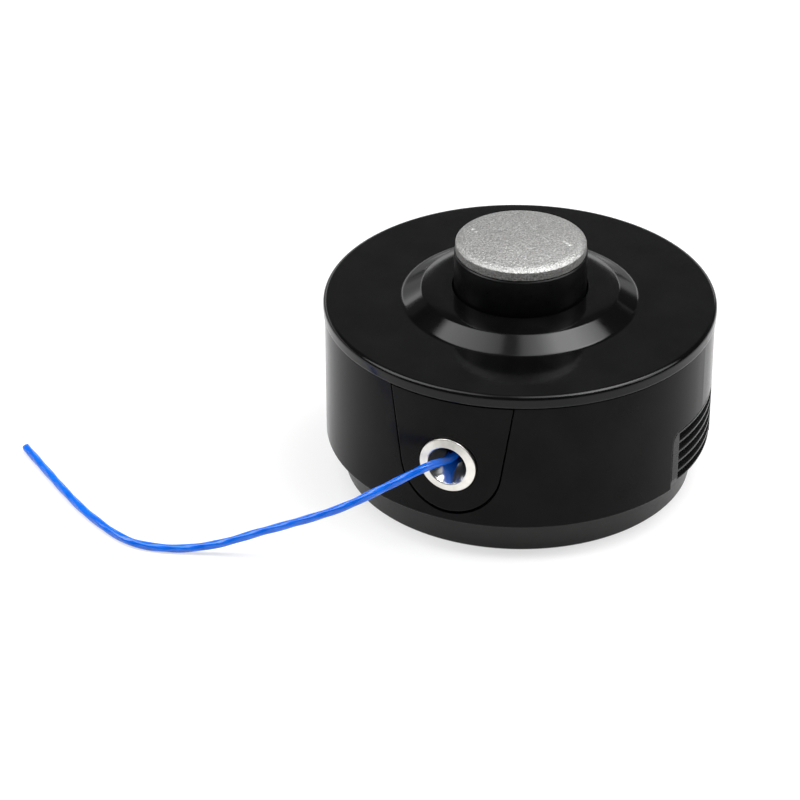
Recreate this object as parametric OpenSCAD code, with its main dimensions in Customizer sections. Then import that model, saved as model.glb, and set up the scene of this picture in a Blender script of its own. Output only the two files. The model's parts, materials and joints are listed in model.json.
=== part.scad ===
// Tap-and-go trimmer head with a metal-capped bump knob, shown knob up.
// The base that faces the gearbox lies on z = 0 and the drive axis is Z.
// The front line outlet looks along -Y and the release latches along +X and -X.

/* [Head] */
// Outside diameter of the cover
head_d = 110; // [106:1:120]
// Thickness of the housing wall, measured from the cover's radius
wall_t = 3; // [2.6:0.1:3.4]
// How far the top of the housing wall stands proud of the cover
wall_proud = 0.2; // [0.1:0.05:0.4]
// Height of the base below the housing
base_h = 10.6; // [10:0.1:12]
// Height of the housing from its foot to the cover
housing_h = 38.7; // [38:0.1:41]
// Rounding of the housing's foot
foot_round = 0.6; // [0.3:0.1:0.9]

/* [Cover] */
// Height of the cover's rim above the housing
rim_h = 3.75; // [3.2:0.05:4.4]
// Thickness of the cover plate
cover_t = 2.65; // [2.2:0.05:3]
// Rounding of the cover's top edge
cover_round = 1.2; // [0.8:0.1:2]
// How far the cover's rim stands out past the top of the housing
rim_proud = 0.4; // [0.2:0.1:0.6]
// Height of the shadow gap between the rim and the housing
seam_gap = 0.35; // [0.2:0.05:0.6]
// Depth of the shadow gap
seam_depth = 1.4; // [0.8:0.1:1.8]
// Length of the cover's spigot inside the housing
spigot_len = 4.5; // [4:0.1:5]
// Wall of the cover's spigot
spigot_t = 2; // [1.6:0.1:2.4]
// Diameter of the raised ring at its foot
ring_d = 66.9; // [64:0.1:70]
// Diameter of the raised ring's top
plateau_d = 55.9; // [54:0.1:58]
// Height of the raised ring at the edge of its top
ring_h = 3.5; // [3:0.1:4]
// Thickness of the raised ring's top, measured at its edge
plateau_t = 3; // [2.4:0.1:3.2]
// How much higher the ring's top is round the knob than at its edge
crown_h = 0.4; // [0.2:0.1:0.6]
// Width of the curved band by which the ring's top falls to its edge
crown_w = 4.5; // [3.5:0.1:6]
// Rounding of the raised ring's top edge
ring_top_round = 1.2; // [0.8:0.1:2]
// Rounding of the raised ring's foot
ring_foot_round = 2; // [1:0.5:3]

/* [Base] */
// Diameter of the base where it rests
base_foot_d = 99.4; // [97:0.1:101]
// Diameter of the base under the housing
base_top_d = 102.4; // [101:0.1:103]
// Wall of the base
base_wall_t = 2.5; // [2.2:0.1:2.8]
// Height of the ribbed recess in the underside
rib_h = 1.5; // [1:0.1:2]
// Thickness of the base's floor
floor_t = 2.5; // [2.2:0.1:3]
// Number of ribs in the underside
rib_count = 8; // [4:2:12]
// Thickness of each rib
rib_t = 2; // [1.6:0.1:2.6]
// Diameter of the centre post
post_d = 24; // [23:0.1:24.6]
// Diameter of the centre boss in the underside
boss_d = 34; // [30:0.5:40]

/* [Drive] */
// Bore of the steel insert, at the crests of its M10 x 1.25 left-hand thread
arbor_d = 8.7; // [8.5:0.05:8.8]
// Width of the insert's hexagon across its flats
hex_af = 17; // [16:0.1:18]
// Height of the insert's hexagon
hex_h = 8; // [6:0.5:9]
// Diameter of the insert's round shank
shank_d = 14; // [13:0.1:15]
// Length of the insert
insert_len = 22; // [18:0.5:23]
// Diameter of the bush on the post's neck
bush_d = 17; // [16.6:0.1:17.4]
// Wall of the bush
bush_t = 1.4; // [1:0.1:1.6]

/* [Spool] */
// Radial room between the spool's flanges and the housing wall
line_room = 10; // [9.6:0.1:12]
// Outside diameter of the spool's hub
hub_d = 39; // [38.6:0.1:41]
// Bore of the spool's hub round the spring
hub_bore_d = 35; // [34:0.1:35.2]
// Thickness of the spool's flanges
flange_t = 2; // [1.6:0.1:2.4]
// Thickness of the spool's middle flange
mid_flange_t = 1.5; // [1.2:0.1:2]
// Thickness of the web that the spring pushes on
web_t = 3; // [2.4:0.1:3.4]
// Depth of the seat for the knob in the top of the spool
seat_depth = 5.3; // [5:0.1:6]
// Diameter over the wound line
wound_d = 64; // [56:1:78]

/* [Bump feed] */
// Travel of the bump knob
bump_stroke = 7; // [6.5:0.1:7.4]
// Height of the index teeth
tooth_h = 3.8; // [3.6:0.1:4]
// Width of each index tooth
tooth_w = 8; // [7:0.1:8.2]
// Number of index teeth in each ring
tooth_count = 6; // [6:1:6]
// Inner diameter of the rings of teeth
tooth_in_d = 66; // [64:0.5:67]
// Outer diameter of the rings of teeth
tooth_out_d = 75; // [72:0.5:78]
// Angle that one press turns the spool
index_turn = 30; // [28:1:31]
// Wire of the main spring
wire_d = 2; // [1.6:0.1:2.2]
// Mean diameter of the main spring
spring_d = 29; // [28:0.1:29.4]
// Turns of the main spring
spring_turns = 6; // [5:0.5:7]

/* [Knob] */
// Diameter of the bump knob
knob_d = 37.5; // [36.6:0.1:38.4]
// Height of the knob's black part above the raised ring
knob_rise = 11.4; // [10:0.1:13]
// Wall of the knob
knob_wall_t = 4; // [3:0.1:4.4]
// Thickness of the knob's roof
roof_t = 5; // [4:0.1:6]
// Diameter of the flange at the knob's foot
knob_flange_d = 43; // [41:0.5:46]
// Height of the flange at the knob's foot
knob_flange_h = 2; // [1.6:0.1:2.6]
// Diameter of the metal cap
cap_d = 36.8; // [35.8:0.1:37.4]
// Thickness of the metal cap
cap_t = 4.6; // [4.5:0.1:5]
// Height of the cap's upright side
cap_side_h = 2.4; // [2:0.1:2.5]
// Rounding between the cap's side and its top
cap_round = 0.4; // [0.3:0.1:0.6]
// Radius of the curved band round the cap's slightly domed top
cap_edge_r = 5; // [3:0.5:5.5]
// Slope of that band where it reaches the side, in degrees
cap_edge_a = 35; // [25:1:36]
// Diameter of the cap's stem
stem_d = 10; // [9:0.1:11]
// Diameter of the cap screw
screw_d = 5; // [4:0.5:5]

/* [Line outlets] */
// Height of the outlets above the resting face
outlet_z = 29; // [28:0.1:30]
// Radius of the rounded foot of each carrier panel
panel_r = 14.6; // [14:0.1:15.2]
// Taper of each carrier panel's sides, in degrees
panel_taper = 8.3; // [7:0.1:9]
// Gap round each carrier panel
panel_gap = 0.4; // [0.3:0.05:0.6]
// Extra gap below each carrier panel
panel_drop = 0.5; // [0.2:0.1:0.8]
// Thickness of the plate behind each carrier panel
backing_t = 1.6; // [1.4:0.1:1.8]
// Width of the plate behind each carrier panel
backing_w = 38.8; // [38:0.1:40]
// Diameter of the eyelet's flange
eyelet_d = 16.4; // [15.6:0.1:17]
// Diameter of the eyelet's mouth
mouth_d = 11.2; // [10.4:0.1:11.8]
// Diameter of the eyelet's bore
eyelet_bore_d = 4; // [3.6:0.1:4.4]
// Diameter of the eyelet's sleeve
sleeve_d = 10; // [9.8:0.1:10.6]
// Length of the eyelet behind its flange
sleeve_len = 8.3; // [8:0.1:8.8]
// How far the eyelet's mouth stands proud of the wall
mouth_proud = 1; // [0.7:0.1:1.4]

/* [Latches] */
// Width of each latch
latch_w = 34; // [32:0.5:35]
// Height of the top of each latch above the resting face
latch_top = 28.6; // [28:0.1:29]
// Height of the foot of each latch above the resting face
latch_foot = 11.7; // [11.5:0.1:12]
// Radius of each latch's top corners
latch_corner = 3; // [2:0.5:4]
// Thickness of each latch's plate
latch_t = 2.6; // [2.4:0.1:2.7]
// Gap round each latch
latch_gap = 0.3; // [0.25:0.05:0.5]
// Plain border at each side of the grip
grip_border = 2.7; // [2:0.1:4]
// Number of grooves in the grip
groove_count = 5; // [3:1:5]
// Height of each groove
groove_h = 2.5; // [2:0.1:2.5]
// Width of the rib between two grooves
rib_w = 0.65; // [0.5:0.05:0.7]
// Depth of the grooves
groove_depth = 1.4; // [0.8:0.1:1.6]
// Distance of each latch's pivot in from the cover's radius
pivot_in = 7.8; // [7.4:0.1:8]
// Height of the pivots above the resting face
pivot_z = 26.4; // [26:0.1:27]
// Diameter of each latch's trunnions
trunnion_d = 3.2; // [2.8:0.1:3.4]
// Running clearance of the trunnions, on the radius
trunnion_gap = 0.05; // [0.02:0.01:0.1]

/* [Line] */
// Diameter of the trimmer line
line_d = 2.4; // [2:0.1:2.7]

/* [Fits] */
// Running clearance between the spool and its bush, on the radius
run_gap = 0.05; // [0.02:0.01:0.1]
// Clearance between parts that are only assembled together
fit_gap = 0.25; // [0.2:0.05:0.3]
// Clearance between parts that move past each other
move_gap = 0.3; // [0.25:0.05:0.35]
// Clearance of pieces pressed into each other, on the radius
press_gap = 0.03; // [0.02:0.01:0.05]

/* [Hidden] */
$fn = 96;

// Colours
black_gloss = [0.10, 0.10, 0.11];
black_base = [0.16, 0.15, 0.15];
black_satin = [0.13, 0.13, 0.14];
grey_inside = [0.30, 0.30, 0.32];
cast_metal = [0.72, 0.72, 0.71];
bright_metal = [0.85, 0.85, 0.82];
steel = [0.60, 0.61, 0.63];
line_blue = [0.12, 0.35, 0.92];

// Main radii
cover_r = head_d / 2;
inner_r = cover_r - wall_t;
wall_top_r = cover_r + wall_proud;
rim_r = wall_top_r + rim_proud;
base_in_r = base_top_d / 2 - base_wall_t;
knob_r = knob_d / 2;
hole_r = knob_r + move_gap;
backing_r = inner_r - fit_gap;
spigot_r = inner_r - fit_gap;

// Heights from the resting face up
floor_z = rib_h + floor_t;
seam_z = base_h + housing_h;
cover_z = seam_z + rim_h;
ring_z = cover_z + ring_h;
knob_z = ring_z + knob_rise;
cap_z = knob_z + cap_t;
cover_under_z = cover_z - cover_t;

// Lip of the base inside the foot of the housing
lip_t = 0.9;
lip_h = 2.2;
lip_r = base_in_r + lip_t;
foot_lip_r = lip_r + 0.2;
foot_lip_h = 2;

// The spool hangs between the two rings of teeth and is pushed up by the spring
spool_top = cover_under_z - tooth_h - move_gap;
spool_foot = floor_z + tooth_h + move_gap + bump_stroke;
web_top = spool_top - seat_depth;
web_foot = web_top - web_t;
mid_flange_z = (spool_foot + spool_top - mid_flange_t) / 2;

// Washers and spring
washer_t = 1;
washer_top = web_foot - move_gap;
washer_foot = washer_top - washer_t;
seat_top = floor_z + washer_t;
spring_hole_d = post_d + 4 * fit_gap;

// Post
post_shoulder = washer_foot - bump_stroke - washer_t;
neck_top = spool_top + 1.5;
bush_bore_r = bush_d / 2 - bush_t;
insert_relief = 5;

// Knob
seat_r = hub_d / 2 - 3.1;
spigot_bead = 0.5;
knob_cavity_r = knob_r - knob_wall_t;
knob_spigot_foot = web_top + move_gap;
snap_z = knob_spigot_foot + 1.8;
roof_foot = knob_z - roof_t;
cap_washer_t = 1;
cap_washer_d = 15;
screw_head_h = 3;
screw_head_d = 9.2;
stem_foot = roof_foot + move_gap;

// Snap bead of the cover
bead_z = seam_z - spigot_len + 1.3;

// Carriers: tongue in the wall, plate behind it, eyelet through both
taper_out = tan(panel_taper);
panel_z = outlet_z - 0.3;
backing_foot = panel_z - panel_r - panel_drop + 1.9;
backing_top = seam_z - spigot_len - move_gap;
flange_seat = cover_r - 1.2;
mouth_face = cover_r + mouth_proud + 0.1;
sleeve_end = flange_seat - sleeve_len;
boss_end = sleeve_end + 1;
rail_t = 1.4;
rail_w = 2;
rail_lap = 1.5;

// Latches
pivot_x = cover_r - pivot_in;
leg_t = 2;
leg_gap = 1.9;
leg_room = 2.8;
leg_x = base_in_r - leg_gap - leg_t;
leg_w = 10;
hook_reach = 1.8;
hook_h = 2.6;
hook_foot = floor_z + 1;
arm_foot = base_h + 3.8;
arm_h = 3;
lug_t = 2.6;
lug_y = 12.2;
lug_half = 2.4;
lug_top = latch_top + 4;
ear_t = 2.5;
ear_y = 9.2;
ear_half = 1.6;

// The spool's flanges turn inside both the housing wall and the latch legs
spool_r = min(inner_r - line_room, leg_x - leg_room);

// How far solids that are joined run into each other
weld = 0.5;

// Rest angles of the spool's teeth, so that both rings clear over a press
upper_tooth_angle = 22;
lower_tooth_angle = 45.5 - index_turn;

// Points along a round stretch of an outline
function arc(cx, cy, r, a0, a1, n) =
    [for (i = [0:n]) [cx + r * cos(a0 + (a1 - a0) * i / n), cy + r * sin(a0 + (a1 - a0) * i / n)]];

// A plain ring
module ring(r_in, r_out, z0, z1) {
    translate([0, 0, z0])
        difference() {
            cylinder(r = r_out, h = z1 - z0);
            translate([0, 0, -1])
                cylinder(r = r_in, h = z1 - z0 + 2);
        }
}

// A block from its lowest to its highest corner
module block(low, high) {
    translate(low)
        cube(high - low);
}

// The outline of the wall, from radius r_in out to the drafted outer face
module wall_solid(r_in, z0, z1) {
    function face_r(z) = cover_r + wall_proud * (z - base_h) / housing_h;
    rotate_extrude()
        polygon([[r_in, z0], [face_r(z0), z0], [face_r(z1), z1], [r_in, z1]]);
}

// One ring of index teeth standing on z0, up or down
module teeth(z0, z1, angle) {
    for (i = [0:tooth_count - 1])
        rotate([0, 0, angle + 360 * i / tooth_count])
            block([tooth_in_d / 2, -tooth_w / 2, z0], [tooth_out_d / 2, tooth_w / 2, z1]);
}

// Base with its centre post, the lower ring of teeth and windows for the latch hooks
module base() {
    foot_r = base_foot_d / 2;
    foot_in = foot_r - base_wall_t;
    foot_chamfer = 0.5;
    top_r = base_top_d / 2;
    window_gap = 0.5;
    color(black_base)
        difference() {
            union() {
                // Floor, wall and the spigot that centres the housing
                rotate_extrude()
                    polygon([[0, rib_h], [foot_in, rib_h], [foot_in, 0], [foot_r - foot_chamfer, 0],
                             [foot_r, foot_chamfer], [top_r, base_h], [lip_r, base_h],
                             [lip_r, base_h + lip_h], [base_in_r, base_h + lip_h], [base_in_r, base_h],
                             [foot_in + 1.4, floor_z], [0, floor_z]]);
                // Boss and ribs in the underside
                cylinder(d = boss_d, h = rib_h + weld);
                for (i = [0:rib_count - 1])
                    rotate([0, 0, 360 * i / rib_count])
                        block([boss_d / 2 - 1, -rib_t / 2, 0], [foot_in + weld, rib_t / 2, rib_h + weld]);
                // Post and neck
                translate([0, 0, rib_h + weld])
                    cylinder(d = post_d, h = post_shoulder - rib_h - weld);
                translate([0, 0, post_shoulder - weld])
                    cylinder(r = bush_bore_r - press_gap, h = neck_top - post_shoulder + weld);
                teeth(floor_z - weld, floor_z + tooth_h, 0);
            }
            // Seat for the arbor insert
            translate([0, 0, -1])
                cylinder(d = (hex_af + 2 * press_gap) / cos(30), h = hex_h + 1, $fn = 6);
            translate([0, 0, -1])
                cylinder(d = shank_d + 2 * press_gap, h = insert_len + 1);
            translate([0, 0, insert_len - 1])
                cylinder(d = arbor_d + 1.6, h = insert_relief + 1);
            // Windows that the latch hooks catch in
            for (side = [0, 180])
                rotate([0, 0, side])
                    block([leg_x + leg_t - 1, -leg_w / 2 - window_gap, hook_foot - window_gap],
                          [leg_x + leg_t + hook_reach + move_gap, leg_w / 2 + window_gap,
                           hook_foot + hook_h + move_gap]);
        }
}

// Steel insert that screws on the gearbox arbor
module arbor_insert() {
    color(steel)
        difference() {
            union() {
                cylinder(d = hex_af / cos(30), h = hex_h - press_gap, $fn = 6);
                cylinder(d = shank_d, h = insert_len);
            }
            translate([0, 0, -1])
                cylinder(d = arbor_d, h = insert_len + 2);
            // Lead-in for the arbor
            translate([0, 0, -0.01])
                cylinder(d1 = arbor_d + 2, d2 = arbor_d, h = 1);
        }
}

// Sleeve that the spool turns and slides on
module hub_bush() {
    color(steel)
        ring(bush_bore_r, bush_d / 2, post_shoulder, neck_top - 0.5);
}

// Steel washer under the main spring
module spring_seat() {
    color(steel)
        ring(spring_hole_d / 2, hub_bore_d / 2 - 0.7, floor_z, seat_top);
}

// Steel washer that carries the spool on the spring
module thrust_washer() {
    color(steel)
        ring(bush_d / 2 + 0.5, hub_bore_d / 2 - 1, washer_foot, washer_top);
}

// Compression spring, swept round a helix with closed ends
module main_spring() {
    steps = 20;
    sides = 8;
    rings = ceil(spring_turns * steps);
    low = seat_top + wire_d / 2;
    high = washer_foot - wire_d / 2;
    end_rise = wire_d * 1.05;
    pitch = (high - low - 2 * end_rise) / (spring_turns - 2);
    function centre_z(t) = t < 1 ? low + t * end_rise : (t > spring_turns - 1
        ? high - (spring_turns - t) * end_rise : low + end_rise + (t - 1) * pitch);
    function ring_points(i) = [for (j = [0:sides - 1])
        let (t = i / steps, a = 360 * t, b = 360 * j / sides, r = spring_d / 2 + wire_d / 2 * cos(b))
            [r * cos(a), r * sin(a), centre_z(t) + wire_d / 2 * sin(b) * 0.98]];
    points = [for (i = [0:rings]) each ring_points(i)];
    skin = [for (i = [0:rings - 1], j = [0:sides - 1])
        let (k = (j + 1) % sides)
            [i * sides + j, i * sides + k, (i + 1) * sides + k, (i + 1) * sides + j]];
    color(steel)
        polyhedron(points, concat(skin, [[for (j = [sides - 1:-1:0]) j]],
                                  [[for (j = [0:sides - 1]) rings * sides + j]]));
}

// The shape of a carrier panel seen from outside, grown by a gap
module panel_outline(grow, drop) {
    r = panel_r + grow;
    top_z = seam_z + grow * 4;
    top_x = r * cos(panel_taper) + (top_z - panel_z + r * sin(panel_taper)) * taper_out;
    polygon(concat([[top_x, top_z], [-top_x, top_z]],
                   arc(0, panel_z - drop, r, 180 + panel_taper, 360 - panel_taper, 28)));
}

// An outline in X and Z, pushed out along -Y from y0 to y1
module front_prism(y0, y1) {
    translate([0, -y0, 0])
        rotate([90, 0, 0])
            linear_extrude(y1 - y0)
                children();
}

// The outline of the opening in the wall for a latch, in Y and Z, open below
module latch_outline(grow, foot) {
    half = latch_w / 2 + grow;
    top = latch_top + grow;
    r = latch_corner + grow;
    polygon(concat([[-half, foot], [half, foot]], arc(half - r, top - r, r, 0, 90, 6),
                   arc(r - half, top - r, r, 90, 180, 6)));
}

// An outline in Y and Z, pushed out along +X from x0 to x1
module side_prism(x0, x1) {
    translate([x0, 0, 0])
        rotate([90, 0, 90])
            linear_extrude(x1 - x0)
                children();
}

// Groove inside the wall for the cover's snap bead
module bead_groove() {
    rotate_extrude()
        translate([spigot_r, bead_z])
            circle(r = 0.8);
}

// Housing wall with openings for the carriers and latches
module housing() {
    rail_x = backing_w / 2 + fit_gap;
    rail_y = sqrt(pow(inner_r, 2) - pow(rail_x + rail_w, 2));
    lip_y = sqrt(pow(backing_r - backing_t, 2) - pow(rail_x, 2)) - fit_gap;
    color(black_gloss)
        difference() {
            union() {
                difference() {
                    rotate_extrude()
                        polygon(concat([[inner_r, seam_z], [inner_r, base_h + foot_lip_h],
                                        [foot_lip_r, base_h + foot_lip_h], [foot_lip_r, base_h]],
                                       arc(cover_r - foot_round, base_h + foot_round,
                                           foot_round, 270, 360, 5),
                                       [[wall_top_r, seam_z - 0.2], [wall_top_r - 0.2, seam_z]]));
                    bead_groove();
                    for (side = [0, 180])
                        rotate([0, 0, side]) {
                            front_prism(inner_r - 8, cover_r + 3)
                                panel_outline(panel_gap, panel_drop);
                            side_prism(inner_r - 8, cover_r + 3)
                                latch_outline(latch_gap, base_h - 1);
                        }
                }
                for (side = [0, 180])
                    rotate([0, 0, side]) {
                        // Rails that hold the plate of a carrier
                        for (s = [-1, 1]) {
                            block([s * rail_x - (s < 0 ? rail_w : 0), -rail_y - 1, backing_foot + 1],
                                  [s * rail_x + (s < 0 ? 0 : rail_w), -lip_y + rail_t, backing_top - 1]);
                            block([s > 0 ? rail_x - rail_lap : -rail_x - rail_w, -lip_y, backing_foot + 1],
                                  [s > 0 ? rail_x + rail_w : rail_lap - rail_x,
                                   -lip_y + rail_t, backing_top - 1]);
                        }
                        // Lugs that carry a latch's trunnions
                        for (s = [-1, 1]) {
                            low_y = s > 0 ? lug_y : -lug_y - lug_t;
                            block([pivot_x - lug_half, low_y, pivot_z - lug_half],
                                  [pivot_x + lug_half, low_y + lug_t, lug_top]);
                            block([pivot_x - lug_half, low_y, latch_top + latch_gap + 0.4],
                                  [inner_r + weld, low_y + lug_t, lug_top]);
                        }
                    }
            }
            // Bores for the trunnions
            for (side = [0, 180])
                rotate([0, 0, side])
                    translate([pivot_x, lug_y + lug_t + 1, pivot_z])
                        rotate([90, 0, 0])
                            cylinder(d = trunnion_d + 2 * trunnion_gap, h = 2 * (lug_y + lug_t) + 2);
        }
}

// Removable panel in the wall that carries an eyelet, built for the front
module eyelet_carrier() {
    color(black_gloss)
        difference() {
            union() {
                intersection() {
                    union() {
                        wall_solid(inner_r + 0.1, panel_z - panel_r - 1, seam_z - 0.3);
                        ring(backing_r - 0.5, inner_r + 0.6, panel_z - panel_r - 1, backing_top);
                    }
                    front_prism(inner_r - 8, cover_r + 3)
                        panel_outline(0, 0);
                }
                intersection() {
                    ring(backing_r - backing_t, backing_r, backing_foot, backing_top);
                    block([-backing_w / 2, -cover_r, backing_foot], [backing_w / 2, 0, backing_top]);
                }
                // Boss round the sleeve
                translate([0, -boss_end, outlet_z])
                    rotate([90, 0, 0])
                        cylinder(d = sleeve_d + 5, h = backing_r - boss_end - 0.5);
            }
            bead_groove();
            translate([0, -flange_seat, outlet_z])
                rotate([90, 0, 0])
                    cylinder(d = eyelet_d + 2 * move_gap, h = 10);
            translate([0, -sleeve_end + 4, outlet_z])
                rotate([90, 0, 0])
                    cylinder(d = sleeve_d + 2 * press_gap, h = 20);
        }
}

// Metal eyelet with a funnel mouth, turned, built for the front
module eyelet() {
    sleeve_r = sleeve_d / 2;
    outer_r = eyelet_d / 2;
    mouth_r = mouth_d / 2;
    bore_r = eyelet_bore_d / 2;
    throat = flange_seat - 4;
    color(bright_metal)
        translate([0, 0, outlet_z])
            rotate([90, 0, 0])
                rotate_extrude()
                    polygon(concat([[bore_r, sleeve_end], [sleeve_r + 0.6, sleeve_end],
                                    [sleeve_r + 0.6, boss_end - 0.4], [sleeve_r, boss_end],
                                    [sleeve_r, flange_seat], [outer_r, flange_seat]],
                                   arc(outer_r - 0.3, mouth_face - 0.8, 0.3, 0, 80, 4),
                                   arc(mouth_r + 0.4, mouth_face - 0.4, 0.4, 90, 150, 4),
                                   [[bore_r + 0.5, throat + 0.7], [bore_r, throat - 0.6]]));
}

// Cover disc with a raised ring, snap spigot and the upper teeth
module cover() {
    ring_r = ring_d / 2;
    plateau_r = plateau_d / 2;
    slope = (ring_r - plateau_r) / ring_h;
    bevel_a = atan(1 / slope);
    foot_reach = ring_foot_round * tan(bevel_a / 2);
    // The crown is an arc that is level where it starts
    top_z = ring_z + crown_h;
    crown_r = (crown_w ^ 2 + crown_h ^ 2) / (2 * crown_h);
    crown_a = asin(crown_w / crown_r);
    edge_reach = ring_top_round * tan((bevel_a - crown_a) / 2);
    edge_x = plateau_r - edge_reach * cos(crown_a) - ring_top_round * sin(crown_a);
    edge_z = ring_z + edge_reach * sin(crown_a) - ring_top_round * cos(crown_a);
    under_r = plateau_r - 1.8;
    under_z = ring_z - plateau_t;
    under_drop = under_z - cover_under_z;
    color(black_gloss)
        union() {
            rotate_extrude() {
                polygon(concat([[rim_r, seam_z + seam_gap]],
                               arc(rim_r - cover_round, cover_z - cover_round,
                                   cover_round, 0, 90, 12),
                               arc(ring_r + foot_reach, cover_z + ring_foot_round,
                                   ring_foot_round, 270, 270 - bevel_a, 6),
                               arc(edge_x, edge_z, ring_top_round,
                                   90 - bevel_a, 90 - crown_a, 5),
                               arc(plateau_r - crown_w, top_z - crown_r, crown_r,
                                   90 - asin((crown_w - 2 * edge_reach) / crown_r), 90, 8),
                               [[hole_r + 0.3, top_z], [hole_r, top_z - 0.3]],
                               [[hole_r, under_z], [under_r, under_z]],
                               [[under_r + under_drop * slope, cover_under_z]],
                               [[spigot_r - spigot_t, cover_under_z]],
                               [[spigot_r - spigot_t, seam_z - spigot_len]],
                               [[spigot_r, seam_z - spigot_len], [spigot_r, seam_z]],
                               [[cover_r - seam_depth, seam_z],
                                [cover_r - seam_depth, seam_z + seam_gap]]));
                // Snap bead
                translate([spigot_r, bead_z])
                    circle(r = 0.45);
            }
            teeth(cover_under_z - tooth_h, cover_under_z + weld, 0);
        }
}

// Spring-back release latch on the right: ribbed grip, trunnions and a hooked leg
module latch() {
    plate_in = cover_r - latch_t;
    grip_y = latch_w / 2 - grip_border;
    pitch = groove_h + rib_w;
    first_groove = latch_top - 0.6 - groove_h;
    color(black_satin)
        difference() {
            union() {
                intersection() {
                    rotate_extrude()
                        polygon([[plate_in, latch_foot], [cover_r - 0.9, latch_foot],
                                 [cover_r - 0.3, latch_foot + 0.7], [cover_r, latch_foot + 2],
                                 [cover_r + wall_proud / 2, latch_top + 1], [plate_in, latch_top + 1]]);
                    side_prism(plate_in - 10, cover_r + 3)
                        latch_outline(0, latch_foot - 1);
                }
                // Ears and trunnions
                for (s = [-1, 1]) {
                    low_y = s > 0 ? ear_y : -ear_y - ear_t;
                    block([pivot_x - ear_half, low_y, pivot_z - ear_half],
                          [plate_in + weld, low_y + ear_t, pivot_z + ear_half]);
                }
                translate([pivot_x, lug_y + lug_t, pivot_z])
                    rotate([90, 0, 0])
                        cylinder(d = trunnion_d, h = 2 * (lug_y + lug_t));
                // Arm, leg and hook
                block([leg_x, -leg_w / 2, arm_foot], [plate_in + weld, leg_w / 2, arm_foot + arm_h]);
                block([leg_x, -leg_w / 2, hook_foot], [leg_x + leg_t, leg_w / 2, arm_foot + 1]);
                translate([0, leg_w / 2, 0])
                    rotate([90, 0, 0])
                        linear_extrude(leg_w)
                            polygon([[leg_x + leg_t / 2, hook_foot], [leg_x + leg_t + 0.2, hook_foot],
                                     [leg_x + leg_t + hook_reach, hook_foot + 1.2],
                                     [leg_x + leg_t + hook_reach, hook_foot + hook_h],
                                     [leg_x + leg_t / 2, hook_foot + hook_h]]);
            }
            // Grooves of the grip, cut square to the axis
            for (i = [0:groove_count - 1])
                intersection() {
                    ring(cover_r - groove_depth, cover_r + 2, first_groove - i * pitch,
                         first_groove - i * pitch + groove_h);
                    block([0, -grip_y, 0], [cover_r + 2, grip_y, seam_z]);
                }
        }
}

// Spool: three flanges on a hub, a web for the spring and two rings of teeth
module spool() {
    hub_r = hub_d / 2;
    bore_r = hub_bore_d / 2;
    running_r = bush_d / 2 + run_gap;
    color(grey_inside)
        difference() {
            union() {
                rotate_extrude()
                    difference() {
                        union() {
                            polygon([[bore_r, spool_foot], [hub_r, spool_foot], [hub_r, spool_top],
                                     [seat_r, spool_top], [seat_r, web_top], [running_r, web_top],
                                     [running_r, web_foot], [bore_r, web_foot]]);
                            translate([hub_r - 1, spool_foot])
                                square([spool_r - hub_r + 1, flange_t]);
                            translate([hub_r - 1, mid_flange_z])
                                square([spool_r - hub_r + 1, mid_flange_t]);
                            translate([hub_r - 1, spool_top - flange_t])
                                square([spool_r - hub_r + 1, flange_t]);
                        }
                        // Groove for the knob's snap bead
                        translate([seat_r, snap_z])
                            circle(r = spigot_bead + 0.3);
                    }
                teeth(spool_top - weld, spool_top + tooth_h, upper_tooth_angle);
                teeth(spool_foot - tooth_h, spool_foot + weld, lower_tooth_angle);
            }
            // Slot in the middle flange where the folded line starts
            block([spool_r - 7, -line_d, mid_flange_z - 1],
                  [spool_r + 1, line_d, mid_flange_z + mid_flange_t + 1]);
            // Notches that park the two line ends
            for (side = [0, 180])
                rotate([0, 0, side + 90])
                    block([spool_r - 3.5, -line_d * 0.4, spool_top - flange_t - 1],
                          [spool_r + 1, line_d * 0.4, spool_top + 0.4]);
        }
}

// Line wound in one chamber of the spool, its outer turns side by side
module winding(z0, z1) {
    turns = floor((z1 - z0) / line_d);
    start = (z0 + z1 - turns * line_d) / 2 + line_d / 2;
    turn_r = wound_d / 2 - line_d / 2;
    color(line_blue)
        rotate_extrude() {
            translate([hub_d / 2 + press_gap * 2, z0 + fit_gap])
                square([turn_r - hub_d / 2 - press_gap * 2, z1 - z0 - 2 * fit_gap]);
            for (i = [0:turns - 1])
                translate([turn_r, start + i * line_d])
                    circle(d = line_d - 0.1, $fn = 24);
        }
}

// Bump knob: a cup with a foot flange and a snap spigot in the spool
module bump_knob() {
    spigot_out = seat_r - 0.2;
    flange_r = knob_flange_d / 2;
    flange_top = spool_top + knob_flange_h;
    edge_chamfer = 0.3;
    color(black_satin)
        difference() {
            rotate_extrude() {
                polygon([[knob_cavity_r, knob_spigot_foot], [spigot_out, knob_spigot_foot],
                         [spigot_out, spool_top], [flange_r, spool_top], [flange_r, flange_top],
                         [knob_r, flange_top], [knob_r, knob_z - edge_chamfer],
                         [knob_r - edge_chamfer, knob_z], [0, knob_z], [0, roof_foot],
                         [knob_cavity_r, roof_foot]]);
                translate([spigot_out, snap_z])
                    circle(r = spigot_bead);
            }
            translate([0, 0, roof_foot - 1])
                cylinder(d = stem_d + 2 * fit_gap, h = roof_t + 2);
        }
}

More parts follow.
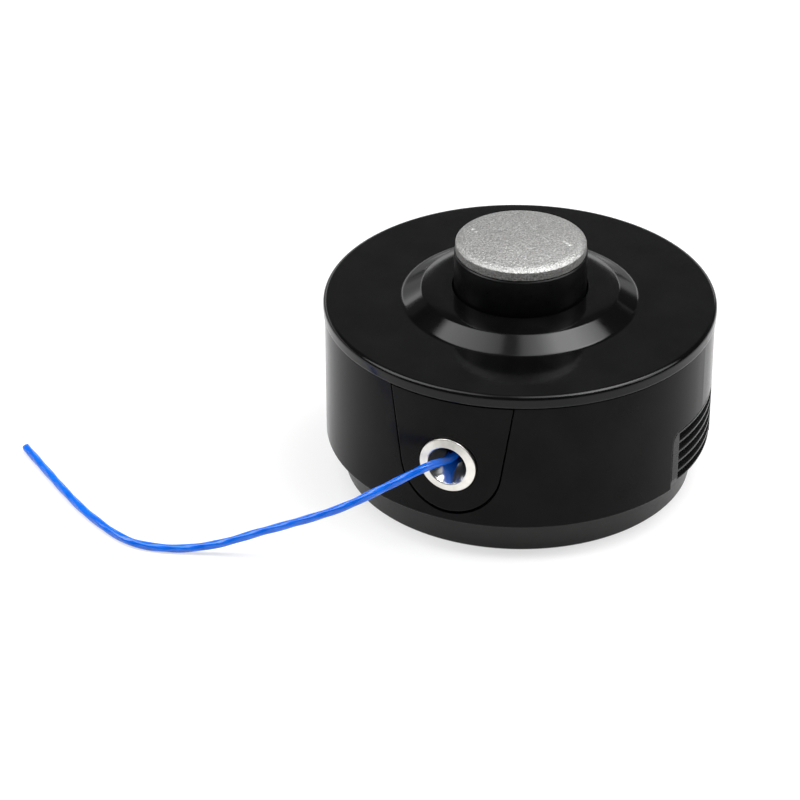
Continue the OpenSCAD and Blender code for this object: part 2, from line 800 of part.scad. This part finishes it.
// Metal cap with a domed top that curves down more towards its edge, and a tapped stem
module knob_cap() {
    r = cap_d / 2;
    band_x = r - cap_round - (cap_edge_r - cap_round) * sin(cap_edge_a);
    band_z = knob_z + cap_side_h - (cap_edge_r - cap_round) * cos(cap_edge_a);
    // The dome meets the band without a crease
    dome_h = cap_z - band_z - cap_edge_r;
    dome_a = 2 * atan(dome_h / band_x);
    dome_r = cap_edge_r + band_x / sin(dome_a);
    color(cast_metal)
        difference() {
            rotate_extrude()
                polygon(concat([[0, stem_foot], [stem_d / 2, stem_foot], [stem_d / 2, knob_z],
                                [r - 0.3, knob_z], [r, knob_z + 0.3]],
                               arc(r - cap_round, knob_z + cap_side_h, cap_round,
                                   0, 90 - cap_edge_a, 4),
                               arc(band_x, band_z, cap_edge_r, 90 - cap_edge_a, 90 - dome_a, 7),
                               arc(0, cap_z - dome_r, dome_r, 90 - dome_a, 90, 5)));
            translate([0, 0, stem_foot - 1])
                cylinder(d = screw_d + 2 * press_gap, h = roof_t);
        }
}

// Washer between the cap screw and the knob's roof
module cap_washer() {
    color(steel)
        ring(screw_d / 2 + 0.2, cap_washer_d / 2, roof_foot - cap_washer_t, roof_foot);
}

// Screw that holds the cap, with a cross recess in its head
module cap_screw() {
    head_z = roof_foot - cap_washer_t - screw_head_h;
    color(steel)
        difference() {
            union() {
                translate([0, 0, head_z])
                    cylinder(d = screw_head_d, h = screw_head_h);
                translate([0, 0, head_z + 1])
                    cylinder(d = screw_d, h = screw_head_h - 1 + cap_washer_t + roof_t - 1.3);
            }
            for (a = [0, 90])
                rotate([0, 0, a])
                    block([-2.4, -0.5, head_z - 1], [2.4, 0.5, head_z + 1.6]);
        }
}

// Route of the free line: out of the front eyelet, down to the ground and along it
line_route = [[0, -46.5, 28.6], [0, -48.5, 28.7], [-0.2, -50.5, 28.9], [-0.8, -53, 29.2], [-1.9, -55.2, 29.5],
              [-3.3, -57.2, 29.6], [-4.8, -59.4, 29.5], [-6.4, -61.4, 29], [-9.8, -64.5, 27.5],
              [-13.4, -67, 25.6], [-17.2, -69.3, 23.5], [-21, -71.3, 21.3], [-25.2, -72.8, 19],
              [-29.6, -73.8, 16.7], [-34.2, -74.5, 14.4], [-38.8, -75, 12.1], [-43.4, -75.6, 9.9],
              [-48, -76.4, 7.8], [-52.4, -77.5, 5.8], [-56.7, -78.8, 4], [-61, -80.2, 2.7],
              [-65.2, -81.6, 1.8], [-69.4, -83, 1.3], [-73.8, -84.2, 1.2], [-78.4, -84.9, 1.2],
              [-83.4, -84.6, 1.2], [-89.4, -82.5, 1.2], [-96, -79, 1.2], [-103.4, -74.4, 1.2],
              [-111.2, -68.6, 1.2], [-119.6, -61.9, 1.2], [-128.4, -54.8, 1.2], [-132.8, -51.2, 1.2]];

// Trimmer line swept along its route, with a flat side down
module free_line() {
    sides = 8;
    last = len(line_route) - 1;
    function unit(v) = v / norm(v);
    function heading(i) = unit(line_route[min(i + 1, last)] - line_route[max(i - 1, 0)]);
    function ring_points(i) = [for (j = [0:sides - 1])
        let (t = heading(i), side = unit(cross([0, 0, 1], t)), up = cross(t, side))
            let (b = 360 * (j + 0.5) / sides)
                line_route[i] + line_d / 2 * (side * cos(b) + up * sin(b))];
    points = [for (i = [0:last]) each ring_points(i)];
    skin = [for (i = [0:last - 1], j = [0:sides - 1])
        [i * sides + j, (i + 1) * sides + j, (i + 1) * sides + (j + 1) % sides, i * sides + (j + 1) % sides]];
    color(line_blue)
        polyhedron(points, concat(skin, [[for (j = [0:sides - 1]) j]],
                                  [[for (j = [sides - 1:-1:0]) last * sides + j]]));
}

base();
arbor_insert();
hub_bush();
spring_seat();
housing();
eyelet_carrier();  // eyelet_carrier_front
rotate([0, 0, 180]) eyelet_carrier();  // eyelet_carrier_rear
eyelet();  // eyelet_front
rotate([0, 0, 180]) eyelet();  // eyelet_rear
cover();
latch();  // latch_right
rotate([0, 0, 180]) latch();  // latch_left
thrust_washer();
main_spring();
spool();
winding(spool_foot + flange_t, mid_flange_z);  // winding_lower
winding(mid_flange_z + mid_flange_t, spool_top - flange_t);  // winding_upper
bump_knob();
knob_cap();
cap_screw();
cap_washer();
free_line();
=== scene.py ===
import json
import math

import bpy
from mathutils import Matrix, Vector


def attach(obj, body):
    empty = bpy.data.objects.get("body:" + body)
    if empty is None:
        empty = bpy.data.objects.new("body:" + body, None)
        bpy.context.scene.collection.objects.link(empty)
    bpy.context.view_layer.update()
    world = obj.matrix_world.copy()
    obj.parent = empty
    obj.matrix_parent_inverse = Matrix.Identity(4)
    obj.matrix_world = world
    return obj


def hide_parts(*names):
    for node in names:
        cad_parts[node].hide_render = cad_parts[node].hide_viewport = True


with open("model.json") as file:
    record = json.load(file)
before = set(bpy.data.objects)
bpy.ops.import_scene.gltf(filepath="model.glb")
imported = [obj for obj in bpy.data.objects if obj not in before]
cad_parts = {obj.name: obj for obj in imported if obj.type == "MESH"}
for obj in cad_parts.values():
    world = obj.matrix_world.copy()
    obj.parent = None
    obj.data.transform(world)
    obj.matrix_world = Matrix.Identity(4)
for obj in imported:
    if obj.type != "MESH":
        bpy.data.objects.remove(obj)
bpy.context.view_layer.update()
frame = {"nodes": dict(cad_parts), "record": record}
nodes = frame["nodes"]
MM = 0.001

# Camera, fitted to the cover's and the base's ellipses in the photograph, and its side in degrees round
# the head from the front eyelet
CAMERA_AT = Vector((313.12, -860.29, 571.8)) * MM
CAMERA_LOOKS = Vector((-0.3222555, 0.7928256, -0.5172804))
CAMERA_LENS = 167.6
SENSOR_WIDTH = 36
CAMERA_AZIMUTH = 20

# The free line: the same route as the solid one, a rounded square section with a slow twist
LINE_D = 2.4 * MM
LINE_ROUTE = [(0, -46.5, 28.6), (0, -48.5, 28.7), (-0.2, -50.5, 28.9), (-0.8, -53, 29.2), (-1.9, -55.2, 29.5),
              (-3.3, -57.2, 29.6), (-4.8, -59.4, 29.5), (-6.4, -61.4, 29), (-9.8, -64.5, 27.5),
              (-13.4, -67, 25.6), (-17.2, -69.3, 23.5), (-21, -71.3, 21.3), (-25.2, -72.8, 19),
              (-29.6, -73.8, 16.7), (-34.2, -74.5, 14.4), (-38.8, -75, 12.1), (-43.4, -75.6, 9.9),
              (-48, -76.4, 7.8), (-52.4, -77.5, 5.8), (-56.7, -78.8, 4), (-61, -80.2, 2.7),
              (-65.2, -81.6, 1.8), (-69.4, -83, 1.3), (-73.8, -84.2, 1.2), (-78.4, -84.9, 1.2),
              (-83.4, -84.6, 1.2), (-89.4, -82.5, 1.2), (-96, -79, 1.2), (-103.4, -74.4, 1.2),
              (-111.2, -68.6, 1.2), (-119.6, -61.9, 1.2), (-128.4, -54.8, 1.2), (-132.8, -51.2, 1.2)]
LINE_SIDES = 4
LINE_TWIST = 38 * MM
LINE_FLATNESS = 0.085
LINE_STEP = 0.6 * MM
LINE_AROUND = 32
POINTS_PER_SPAN = 12

# Places that materials refer to. A knock on the cap's top is its x, y and radius in millimetres.
OUTLET_Z = 29 * MM
MOUTH_R = 5.6 * MM
MOUTH_EDGE = 0.2 * MM
TURNING_MARKS = 42000
CAP_TOP_Z = 71.8 * MM
CAP_KNOCKS = [(-14.3, -0.3, 0.7), (-12.9, -1.6, 0.6), (12.0, 2.2, 0.7), (13.1, 1.7, 0.6), (14.1, 1.2, 0.7)]

# The overhead softbox: its height in metres, and its edges and brightness at places given as shares of the
# height, to the right and to the back as the camera sees them. A dark seam runs through it, and it fades out
# towards its far edge, which lies further back on the right.
SOFTBOX_HEIGHT = 3.0
SOFTBOX_LEFT, SOFTBOX_RIGHT = -1.7, 1.7
SOFTBOX_NEAR, SOFTBOX_FAR = -0.35, 0.54
SOFTBOX_FADE = (0.33, 0.45)
SOFTBOX_SKEW = 0.09
SOFTBOX_SKEW_ENDS = (-0.3, 0.3)
SOFTBOX_RADIANCE = 11.0
SOFTBOX_PROFILE = [(-0.85, 0.48), (-0.67, 0.55), (-0.50, 0.49), (-0.34, 0.40), (-0.17, 0.24), (-0.12, 0.06),
                   (-0.03, 0.06), (0.0, 0.16), (0.035, 0.28), (0.07, 0.33), (0.17, 0.48), (0.34, 1.0),
                   (0.50, 1.0), (0.67, 0.68), (0.80, 0.43)]

# The room: its darkest level, and the backdrop's brightness at heights above the horizon, as shares of the
# distance, left of its seam and right of it. Its bands climb to the left, and it is as high as BACKDROP_TOP.
# Beside and behind the camera it fades out.
WORLD_DARK = 0.05
BACKDROP_TOP = 2.0
BACKDROP_FADE = (-0.1, 0.15)
NEAREST_AHEAD = 0.05
BACKDROP_MAIN = [(0.0, 0.20), (0.06, 0.50), (0.15, 0.60), (0.22, 0.85), (0.27, 1.3), (0.33, 2.4),
                 (0.405, 2.7), (0.42, 0.38), (0.46, 0.36), (0.475, 0.12), (0.70, 0.12), (0.76, 0.0)]
BACKDROP_RIGHT = [(0.0, 0.20), (0.08, 0.35), (0.20, 0.25), (0.26, 0.08), (0.34, 0.0), (0.60, 0.0),
                  (0.615, 0.4), (0.64, 0.4), (0.655, 0.0)]
BACKDROP_SEAM = (0.45, 0.53)
BACKDROP_CLIMB = 0.1

# The floor: its width in metres, how much of its shadow it loses where it is looked at or mirrored,
# and the level that its mirror image falls to between two distances from the head in metres
FLOOR_WIDTH = 8
FLOOR_GLOW = 0.65
FLOOR_FAR = (0.4, 0.8)
FLOOR_FAR_LEVEL = 0.12


def add_camera():
    """The camera of the photograph."""
    data = bpy.data.cameras.new("camera")
    data.lens = CAMERA_LENS
    data.sensor_width = SENSOR_WIDTH
    data.clip_start = 0.01
    camera = bpy.data.objects.new("camera", data)
    bpy.context.scene.collection.objects.link(camera)
    camera.location = CAMERA_AT
    camera.rotation_mode = "QUATERNION"
    camera.rotation_quaternion = CAMERA_LOOKS.to_track_quat("-Z", "Y")
    bpy.context.scene.camera = camera


def spline_points(points, step):
    """A smooth line through the points with a point about every step, and the exact step."""
    fine = []
    for i in range(len(points) - 1):
        a, b = points[max(i - 1, 0)], points[i]
        c, d = points[i + 1], points[min(i + 2, len(points) - 1)]
        for k in range(POINTS_PER_SPAN):
            t = k / POINTS_PER_SPAN
            fine.append(0.5 * ((2 * b) + (c - a) * t + (2 * a - 5 * b + 4 * c - d) * t * t
                               + (3 * b - a - 3 * c + d) * t ** 3))
    fine.append(points[-1])
    travelled = [0.0]
    for p, q in zip(fine, fine[1:]):
        travelled.append(travelled[-1] + (q - p).length)
    count = round(travelled[-1] / step)
    out, k = [], 0
    for i in range(count + 1):
        s = travelled[-1] * i / count
        while k < len(fine) - 2 and travelled[k + 1] < s:
            k += 1
        span = travelled[k + 1] - travelled[k]
        out.append(fine[k].lerp(fine[k + 1], (s - travelled[k]) / span))
    return out, travelled[-1] / count


def add_free_line():
    """The line as a tube with a twisted, rounded square section."""
    route, step = spline_points([Vector(p) * MM for p in LINE_ROUTE], LINE_STEP)
    around = LINE_AROUND
    verts, faces = [], []
    up = Vector((0, 0, 1))
    for i, p in enumerate(route):
        ahead = (route[min(i + 1, len(route) - 1)] - route[max(i - 1, 0)]).normalized()
        side = up.cross(ahead).normalized()
        top = ahead.cross(side)
        twist = 2 * math.pi * i * step / LINE_TWIST
        for j in range(around):
            a = 2 * math.pi * j / around
            dip = LINE_FLATNESS * (1 - math.cos(LINE_SIDES * (a - twist))) / 2
            r = LINE_D / 2 * (1 - dip)
            verts.append(p + r * (side * math.cos(a) + top * math.sin(a)))
    for i in range(len(route) - 1):
        for j in range(around):
            k = (j + 1) % around
            faces.append((i * around + j, (i + 1) * around + j, (i + 1) * around + k, i * around + k))
    faces.append(tuple(range(around)))
    last = (len(route) - 1) * around
    faces.append(tuple(last + j for j in reversed(range(around))))
    mesh = bpy.data.meshes.new("trimmer_line")
    mesh.from_pydata([tuple(v) for v in verts], [], faces)
    mesh.update()
    for poly in mesh.polygons:
        poly.use_smooth = len(poly.vertices) == 4
    line = bpy.data.objects.new("trimmer_line", mesh)
    bpy.context.scene.collection.objects.link(line)
    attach(line, "head")
    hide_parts("free_line")
    return line


class Nodes:
    """A helper that makes and links the shader nodes of a material, a lamp or the world."""

    def __init__(self, holder):
        holder.use_nodes = True
        self.holder = holder
        self.tree = holder.node_tree
        self.shader = self.tree.nodes.get("Principled BSDF")
        places = self.add("ShaderNodeTexCoord")
        self.coords, self.directions = places.outputs["Object"], places.outputs["Generated"]

    def add(self, kind, **settings):
        node = self.tree.nodes.new(kind)
        for key, value in settings.items():
            if hasattr(node, key):
                setattr(node, key, value)
            else:
                node.inputs[key].default_value = value
        return node

    def link(self, source, target):
        self.tree.links.new(source, target)

    def drive(self, socket, source):
        self.link(source, self.shader.inputs[socket])

    def noise(self, size, detail=3.0, roughness=0.5, vector=None):
        """Noise whose lumps are about size metres wide."""
        node = self.add("ShaderNodeTexNoise", Scale=1 / size, Detail=detail, Roughness=roughness)
        self.link(vector or self.coords, node.inputs["Vector"])
        return node.outputs["Fac"]

    def remap(self, value, low, high, to_low, to_high):
        node = self.add("ShaderNodeMapRange")
        for name, number in (("From Min", low), ("From Max", high), ("To Min", to_low), ("To Max", to_high)):
            node.inputs[name].default_value = number
        self.link(value, node.inputs["Value"])
        return node.outputs["Result"]

    def ramp(self, value, stops, start, end):
        """A level that runs through the stops, each a place between start and end and its level."""
        node = self.add("ShaderNodeValToRGB")
        elements = node.color_ramp.elements
        while len(elements) < len(stops):
            elements.new(0)
        for element, (place, level) in zip(elements, stops):
            element.position = (place - start) / (end - start)
            element.color = (level, level, level, 1)
        self.link(self.remap(value, start, end, 0, 1), node.inputs["Fac"])
        return node.outputs["Color"]

    def camera_frame(self, vector, scale=1.0):
        """A vector's parts to the right, to the back and up, seen from the camera's side."""
        turn = self.add("ShaderNodeMapping")
        turn.inputs["Rotation"].default_value = (0, 0, math.radians(-CAMERA_AZIMUTH))
        turn.inputs["Scale"].default_value = (scale, scale, scale)
        self.link(vector, turn.inputs["Vector"])
        split = self.add("ShaderNodeSeparateXYZ")
        self.link(turn.outputs["Vector"], split.inputs["Vector"])
        return split.outputs

    def maths(self, operation, a, b):
        """Two values, each a socket or a number, put together."""
        node = self.add("ShaderNodeMath", operation=operation)
        for socket, value in zip(node.inputs, (a, b)):
            if isinstance(value, (int, float)):
                socket.default_value = value
            else:
                self.link(value, socket)
        return node.outputs[0]

    def mix_colour(self, factor, a, b):
        node = self.add("ShaderNodeMix", data_type="RGBA")
        self.link(factor, node.inputs["Factor"])
        ends = [socket for socket in node.inputs if socket.type == "RGBA"]
        for socket, colour in zip(ends, (a, b)):
            if isinstance(colour, tuple):
                socket.default_value = (*colour, 1)
            else:
                self.link(colour, socket)
        return [socket for socket in node.outputs if socket.type == "RGBA"][0]

    def distance_to(self, point):
        """How far each place is from a point, in metres."""
        node = self.add("ShaderNodeVectorMath", operation="DISTANCE")
        self.link(self.coords, node.inputs[0])
        node.inputs[1].default_value = point
        return node.outputs["Value"]

    def distance_to_outlet_axis(self):
        flat = self.add("ShaderNodeVectorMath", operation="MULTIPLY")
        self.link(self.coords, flat.inputs[0])
        flat.inputs[1].default_value = (1, 0, 1)
        node = self.add("ShaderNodeVectorMath", operation="DISTANCE")
        self.link(flat.outputs["Vector"], node.inputs[0])
        node.inputs[1].default_value = (0, 0, OUTLET_Z)
        return node.outputs["Value"]

    def soften_edges(self, radius):
        """Makes sharp edges catch the light as if they were rounded."""
        node = self.add("ShaderNodeBevel", samples=6)
        node.inputs["Radius"].default_value = radius
        self.link(node.outputs["Normal"], self.shader.inputs["Normal"])

    def bump(self, height, strength, distance):
        node = self.add("ShaderNodeBump", Strength=strength, Distance=distance)
        self.link(height, node.inputs["Height"])
        normal = self.shader.inputs["Normal"]
        if normal.is_linked:
            self.link(normal.links[0].from_socket, node.inputs["Normal"])
        self.link(node.outputs["Normal"], normal)


def new_material(name):
    return Nodes(bpy.data.materials.new(name))


def moulded_black(name, base, lighter, gloss, roughness, waviness, grain, edges=0.0):
    """Black moulded nylon: slight waviness, faint marks in the gloss and a fine grain."""
    m = new_material(name)
    if edges:
        m.soften_edges(edges)
    m.shader.inputs["IOR"].default_value = 1.5
    m.shader.inputs["Specular IOR Level"].default_value = gloss
    m.drive("Base Color", m.mix_colour(m.remap(m.noise(0.012, 4.0), 0.35, 0.7, 0, 1), base, lighter))
    low, high = roughness
    m.drive("Roughness", m.remap(m.noise(0.0016, 6.0, 0.65), 0.3, 0.75, low, high))
    m.bump(m.noise(0.02, 1.0), waviness, 0.0004)
    m.bump(m.noise(0.0006, 2.0), grain, 0.00003)
    return m.holder


def blasted_cap():
    """Cast metal, coarsely blasted, with bright specks and a few knocks."""
    m = new_material("cap_metal")
    m.shader.inputs["Metallic"].default_value = 1.0
    grain = m.noise(0.00055, 2.5, 0.75)
    tone = m.mix_colour(m.remap(grain, 0.3, 0.7, 0, 1), (0.17, 0.17, 0.166), (0.52, 0.52, 0.508))
    clouds = m.remap(m.noise(0.003, 4.0), 0.35, 0.65, 0, 0.35)
    tone = m.mix_colour(clouds, tone, (0.30, 0.30, 0.294))
    knocks = None
    for x, y, r in CAP_KNOCKS:
        spot = m.remap(m.distance_to((x * MM, y * MM, CAP_TOP_Z)), 0.4 * r * MM, r * MM, 1, 0)
        knocks = spot if knocks is None else m.maths("MAXIMUM", knocks, spot)
    tone = m.mix_colour(m.maths("MULTIPLY", knocks, grain), tone, (0.95, 0.95, 0.94))
    m.drive("Base Color", tone)
    m.drive("Roughness", m.remap(m.noise(0.0009, 4.0), 0.3, 0.7, 0.42, 0.56))
    m.bump(m.noise(0.0007, 2.0, 0.7), 1.0, 0.0003)
    m.bump(knocks, -0.6, 0.00025)
    return m.holder


def turned_metal():
    """Eyelets: a satin ring and a polished funnel with fine turning marks."""
    m = new_material("eyelet_metal")
    m.shader.inputs["Metallic"].default_value = 1.0
    axis = m.distance_to_outlet_axis()
    ring = m.remap(axis, MOUTH_R - MOUTH_EDGE, MOUTH_R + MOUTH_EDGE, 0, 1)
    stains = m.remap(m.noise(0.0015, 4.0), 0.3, 0.7, 0, 1)
    funnel = m.mix_colour(stains, (0.60, 0.61, 0.63), (0.72, 0.73, 0.74))
    satin = m.mix_colour(stains, (0.72, 0.70, 0.65), (0.82, 0.80, 0.75))
    m.drive("Base Color", m.mix_colour(ring, funnel, satin))
    m.drive("Roughness", m.maths("ADD", m.remap(ring, 0, 1, 0.10, 0.28), m.remap(stains, 0, 1, 0, 0.06)))
    m.bump(m.maths("SINE", m.maths("MULTIPLY", axis, TURNING_MARKS), 0), 0.10, 0.00002)
    m.bump(m.noise(0.0005, 2.0), 0.12, 0.00005)
    return m.holder


def plain_steel(name, base, lighter, roughness):
    """Steel with faint stains and a fine grain."""
    m = new_material(name)
    m.shader.inputs["Metallic"].default_value = 1.0
    m.drive("Base Color", m.mix_colour(m.remap(m.noise(0.002, 4.0), 0.3, 0.7, 0, 1), base, lighter))
    m.drive("Roughness", m.remap(m.noise(0.0007, 3.0), 0.3, 0.7, roughness, roughness + 0.15))
    m.bump(m.noise(0.0006, 2.0), 0.15, 0.00005)
    return m.holder


def blue_nylon():
    """Glossy blue nylon with slightly uneven colour."""
    m = new_material("trimmer_line")
    m.shader.inputs["IOR"].default_value = 1.5
    m.shader.inputs["Specular IOR Level"].default_value = 0.5
    tone = m.remap(m.noise(0.004, 3.0), 0.3, 0.7, 0, 1)
    m.drive("Base Color", m.mix_colour(tone, (0.001, 0.095, 0.55), (0.006, 0.140, 0.70)))
    m.drive("Roughness", m.remap(m.noise(0.001, 3.0), 0.3, 0.7, 0.10, 0.19))
    m.bump(m.noise(0.0012, 2.0), 0.1, 0.0001)
    return m.holder


MATERIALS = {
    "cover_plastic": moulded_black("cover_plastic", (0.0018, 0.0018, 0.0020), (0.0034, 0.0034, 0.0036),
                                   gloss=0.22, roughness=(0.07, 0.13), waviness=0.05, grain=0.12,
                                   edges=0.5 * MM),
    "housing_plastic": moulded_black("housing_plastic", (0.0028, 0.0026, 0.0026), (0.0050, 0.0047, 0.0047),
                                     gloss=0.07, roughness=(0.12, 0.20), waviness=0.10, grain=0.12,
                                     edges=0.3 * MM),
    "base_plastic": moulded_black("base_plastic", (0.006, 0.0057, 0.0054), (0.011, 0.0104, 0.0099),
                                  gloss=0.28, roughness=(0.30, 0.42), waviness=0.08, grain=0.25),
    "knob_plastic": moulded_black("knob_plastic", (0.0020, 0.0020, 0.0022), (0.0038, 0.0038, 0.0040),
                                  gloss=0.20, roughness=(0.26, 0.38), waviness=0.05, grain=0.20),
    "latch_plastic": moulded_black("latch_plastic", (0.0065, 0.0065, 0.0066), (0.0110, 0.0110, 0.0110),
                                   gloss=0.28, roughness=(0.22, 0.32), waviness=0.05, grain=0.20,
                                   edges=0.3 * MM),
    "spool_plastic": moulded_black("spool_plastic", (0.02, 0.02, 0.022), (0.03, 0.03, 0.032),
                                   gloss=0.4, roughness=(0.38, 0.50), waviness=0.05, grain=0.20),
    "cap_metal": blasted_cap(),
    "eyelet_metal": turned_metal(),
    "plated_steel": plain_steel("plated_steel", (0.50, 0.51, 0.53), (0.62, 0.63, 0.64), roughness=0.26),
    "spring_steel": plain_steel("spring_steel", (0.36, 0.36, 0.37), (0.48, 0.48, 0.50), roughness=0.24),
    "trimmer_line": blue_nylon(),
}


def dress_nodes():
    """Gives each CAD piece the material of its slot in the record."""
    slots = {part["node"]: part["material_slot"] for part in frame["record"]["subparts"]}
    for name, node in nodes.items():
        node.data.materials.clear()
        node.data.materials.append(MATERIALS[slots[name]])


def add_softbox():
    """An overhead softbox that shows in gloss but not to the camera."""
    width = (SOFTBOX_RIGHT - SOFTBOX_LEFT) * SOFTBOX_HEIGHT
    depth = (SOFTBOX_FAR - SOFTBOX_NEAR) * SOFTBOX_HEIGHT
    data = bpy.data.lights.new("softbox", "AREA")
    data.shape = "RECTANGLE"
    data.size, data.size_y = width, depth
    data.energy = SOFTBOX_RADIANCE * math.pi * width * depth
    n = Nodes(data)
    place = n.camera_frame(n.add("ShaderNodeNewGeometry").outputs["Position"], 1 / SOFTBOX_HEIGHT)
    level = n.ramp(place["X"], SOFTBOX_PROFILE, SOFTBOX_LEFT, SOFTBOX_RIGHT)
    back = n.maths("SUBTRACT", place["Y"], n.remap(place["X"], *SOFTBOX_SKEW_ENDS, 0, SOFTBOX_SKEW))
    level = n.maths("MULTIPLY", level, n.remap(back, *SOFTBOX_FADE, 1, 0))
    n.link(level, n.tree.nodes["Emission"].inputs["Strength"])
    light = bpy.data.objects.new("softbox", data)
    bpy.context.scene.collection.objects.link(light)
    middle = Vector(((SOFTBOX_LEFT + SOFTBOX_RIGHT) / 2, (SOFTBOX_NEAR + SOFTBOX_FAR) / 2, 1))
    turn = Matrix.Rotation(math.radians(CAMERA_AZIMUTH), 4, "Z")
    light.matrix_world = turn @ Matrix.Translation(middle * SOFTBOX_HEIGHT)
    light.visible_camera = False


def add_world():
    """A dark room with a backdrop in bright and dim bands behind the head."""
    world = bpy.data.worlds.new("studio")
    bpy.context.scene.world = world
    n = Nodes(world)
    aim = n.camera_frame(n.directions)
    ahead = n.maths("MAXIMUM", aim["Y"], NEAREST_AHEAD)
    right = n.maths("DIVIDE", aim["X"], ahead)
    climb = n.maths("MULTIPLY", right, BACKDROP_CLIMB)
    height = n.maths("ADD", n.maths("DIVIDE", aim["Z"], ahead), climb)
    side = n.remap(right, *BACKDROP_SEAM, 0, 1)
    levels = [n.ramp(height, stops, 0, BACKDROP_TOP) for stops in (BACKDROP_MAIN, BACKDROP_RIGHT)]
    level = n.maths("MULTIPLY", n.mix_colour(side, *levels), n.remap(aim["Y"], *BACKDROP_FADE, 0, 1))
    background = n.tree.nodes["Background"]
    background.inputs["Color"].default_value = (1, 1, 1, 1)
    n.link(n.maths("ADD", level, WORLD_DARK), background.inputs["Strength"])


def add_floor():
    """A white floor that shows only a part of its shadow and looks dark far off in mirror images."""
    bpy.ops.mesh.primitive_plane_add(size=FLOOR_WIDTH, location=(0, 0, 0))
    floor = bpy.context.object
    floor.name = "floor"
    m = new_material("floor")
    m.shader.inputs["Roughness"].default_value = 0.6
    m.shader.inputs["Base Color"].default_value = (0.95, 0.95, 0.95, 1)
    rays = m.add("ShaderNodeLightPath").outputs
    seen = m.maths("MAXIMUM", rays["Is Camera Ray"], rays["Is Glossy Ray"])
    seen = m.maths("MAXIMUM", seen, rays["Is Transmission Ray"])
    far = m.maths("MULTIPLY", rays["Is Glossy Ray"], m.remap(m.distance_to((0, 0, 0)), *FLOOR_FAR, 0, 1))
    glow = m.add("ShaderNodeEmission")
    m.link(m.remap(far, 0, 1, 1, FLOOR_FAR_LEVEL), glow.inputs["Strength"])
    mix = m.add("ShaderNodeMixShader")
    m.link(m.maths("MAXIMUM", m.maths("MULTIPLY", seen, FLOOR_GLOW), far), mix.inputs["Fac"])
    m.link(m.shader.outputs["BSDF"], mix.inputs[1])
    m.link(glow.outputs["Emission"], mix.inputs[2])
    m.link(mix.outputs["Shader"], m.tree.nodes["Material Output"].inputs["Surface"])
    floor.data.materials.append(m.holder)


add_camera()
line = add_free_line()
line.data.materials.append(MATERIALS["trimmer_line"])
dress_nodes()
add_world()
add_softbox()
add_floor()
bpy.context.scene.view_settings.view_transform = "Standard"
